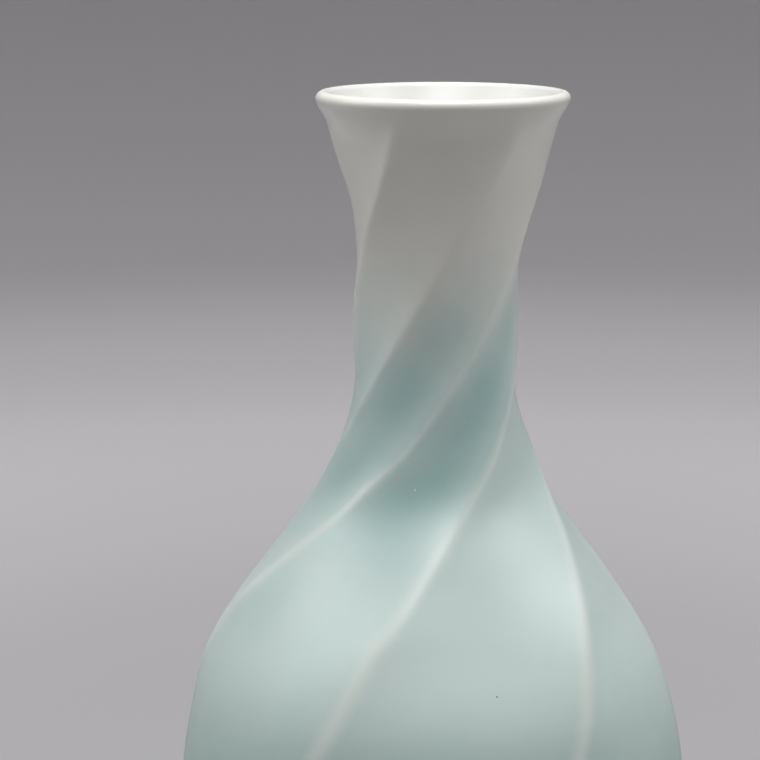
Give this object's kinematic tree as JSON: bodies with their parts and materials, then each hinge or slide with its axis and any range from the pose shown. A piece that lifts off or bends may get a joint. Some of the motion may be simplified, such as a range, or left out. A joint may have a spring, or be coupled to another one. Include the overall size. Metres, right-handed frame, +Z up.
{
  "type": "sake bottle",
  "caption": "Glazed porcelain sake bottle with a round belly, a slim neck, a flared rolled lip and twisted carved flutes, standing on a bare foot ring.",
  "frame": {"origin": "middle of the foot, on the surface that the bottle stands on", "axes": "+Z up through the mouth, -Y towards the front of the picture, +X to its right"},
  "size_m": [0.0965, 0.0965, 0.176],
  "materials": {
    "porcelain": "fired white clay, under glaze",
    "bare_porcelain": "unglazed, ground smooth, matte",
    "celadon_glaze": "glossy pale blue-green glaze, paler on the ridges",
    "white_glaze": "glossy white glaze that fades into the celadon",
    "inner_glaze": "glossy white glaze",
    "clear_glaze": "thin glossy glaze over white clay"
  },
  "bodies": {
    "root": {"porcelain_body": "porcelain", "foot_ring": "bare_porcelain", "celadon_glaze": "celadon_glaze", "white_glaze": "white_glaze", "inner_glaze": "inner_glaze", "base_glaze": "clear_glaze"}
  },
  "joints": []
}
